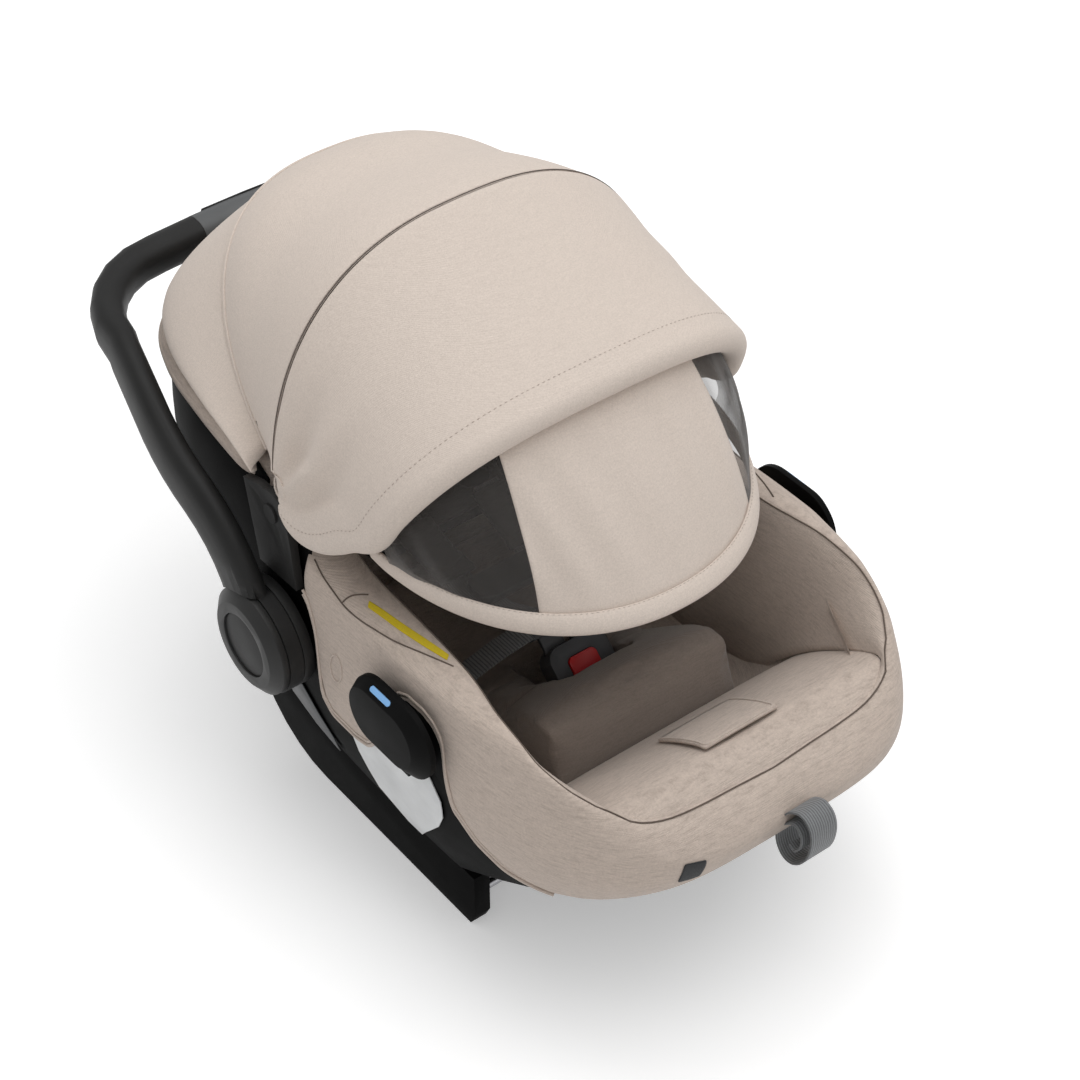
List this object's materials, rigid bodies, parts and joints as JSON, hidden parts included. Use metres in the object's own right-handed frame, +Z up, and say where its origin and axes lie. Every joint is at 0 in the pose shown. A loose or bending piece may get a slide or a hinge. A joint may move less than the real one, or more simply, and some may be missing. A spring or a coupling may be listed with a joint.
{
  "type": "infant car seat",
  "caption": "Infant carrier seat with a swing handle, folding canopy with visor, padded shell, harness, headrest and lap belt guides, standing on two rocker rails.",
  "frame": {"origin": "on the floor under the middle of the part, at the underside of the rest pads", "axes": "+Z up, foot end towards -Y, head end towards +Y, X from side to side"},
  "size_m": [0.444, 0.7483, 0.5294],
  "materials": {
    "shell": "fine grained black plastic",
    "rubber": "matt black rubber",
    "steel": "bright steel",
    "foam": "dark grey expanded foam",
    "melange": "heathered beige woven cloth",
    "taupe": "taupe knitted cloth",
    "canopy": "fine plain weave in warm greige",
    "greymesh": "dark open mesh",
    "charcoal": "charcoal knitted cloth",
    "webbing": "ribbed grey webbing",
    "black": "satin black plastic",
    "cap": "satin black plastic",
    "dark": "dark grey plastic",
    "grip": "grey plastic",
    "red": "red plastic",
    "blue": "pale blue plastic",
    "plate": "bare white film",
    "yellow": "plain yellow cloth",
    "tag": "plain dark cloth"
  },
  "bodies": {
    "seat": {"seat_shell": "shell", "rest_pads": "rubber", "dock_bars": "steel", "foam_liner": "foam", "seat_lining": "melange", "seat_cover": "melange", "foot_pad": "melange", "infant_insert": "taupe", "side_bolsters": "taupe", "shoulder_straps": "webbing", "shoulder_pads": "charcoal", "hip_straps": "webbing", "chest_clip": "dark", "crotch_strap": "webbing", "buckle_body": "dark", "buckle_tongues": "dark", "adjuster_housing": "dark", "adjuster_strap": "webbing", "belt_guide_left": "black", "belt_guide_right": "black", "guide_markers": "blue", "hub_base_left": "black", "hub_base_right": "black", "hub_pins": "steel", "canopy_mount_left": "black", "canopy_mount_right": "black", "canopy_pins": "steel", "rear_bow": "black", "head_skirt": "canopy", "side_plates": "plate", "side_vents": "dark", "caution_strip": "yellow", "foot_tag": "tag"},
    "handle": {"handle_frame": "black", "handle_grip": "grip", "grip_strip": "black", "hub_cap_left": "cap", "hub_cap_right": "cap"},
    "button_left": {"handle_button_left": "black", "lock_gear_left": "steel"},
    "button_right": {"handle_button_right": "black", "lock_gear_right": "steel"},
    "canopy_middle": {"mid_bow": "black", "rear_panel": "canopy"},
    "canopy_front": {"front_roll": "canopy", "front_panel": "canopy"},
    "visor": {"visor_wire": "canopy", "visor_panel": "canopy", "visor_mesh": "greymesh"},
    "headrest": {"headrest_shell": "shell", "headrest_pad": "charcoal", "insert_crown": "taupe", "head_pillow": "taupe"},
    "red_button": {"buckle_button": "red"},
    "adjuster_key": {"adjuster_button": "black"},
    "strap_flap": {"adjuster_flap": "melange"}
  },
  "joints": [
    {"name": "handle_turn", "type": "hinge", "parent": "seat", "child": "handle", "pos_m": [0, 0.052, 0.203], "axis": [1, 0, 0], "range_deg": [0, 62]},
    {"name": "button_left_press", "type": "slide", "parent": "handle", "child": "button_left", "axis": [1, 0, 0], "range_m": [0, 0.005], "stiffness_N_per_m": 500, "springref_m": -0.002},
    {"name": "button_right_press", "type": "slide", "parent": "handle", "child": "button_right", "axis": [-1, 0, 0], "range_m": [0, 0.005], "stiffness_N_per_m": 500, "springref_m": -0.002},
    {"name": "canopy_middle_turn", "type": "hinge", "parent": "seat", "child": "canopy_middle", "pos_m": [0, 0.053, 0.318], "axis": [1, 0, 0], "range_deg": [-18, 0], "deforming": ["rear_panel"]},
    {"name": "canopy_front_turn", "type": "hinge", "parent": "canopy_middle", "child": "canopy_front", "pos_m": [0, 0.053, 0.318], "axis": [1, 0, 0], "range_deg": [-16, 0], "deforming": ["front_panel"]},
    {"name": "visor_turn", "type": "hinge", "parent": "canopy_front", "child": "visor", "pos_m": [0, -0.026, 0.32], "axis": [1, 0, 0], "range_deg": [-45, 0], "deforming": ["visor_panel", "visor_mesh"]},
    {"name": "headrest_slide", "type": "slide", "parent": "seat", "child": "headrest", "axis": [0, 0.829, 0.5592], "range_m": [0, 0.03]},
    {"name": "buckle_press", "type": "slide", "parent": "seat", "child": "red_button", "axis": [0, 0.6691, -0.7431], "range_m": [0, 0.004], "stiffness_N_per_m": 800, "springref_m": -0.002},
    {"name": "adjuster_press", "type": "slide", "parent": "seat", "child": "adjuster_key", "axis": [0, 0, -1], "range_m": [0, 0.004], "stiffness_N_per_m": 600, "springref_m": -0.002},
    {"name": "flap_lift", "type": "hinge", "parent": "seat", "child": "strap_flap", "pos_m": [0, -0.224, 0.201], "axis": [-1, 0, 0], "range_deg": [0, 60]}
  ],
  "couplings": [
    {"joint": "canopy_front_turn", "follows": "canopy_middle_turn", "ratio": 0.88889}
  ]
}
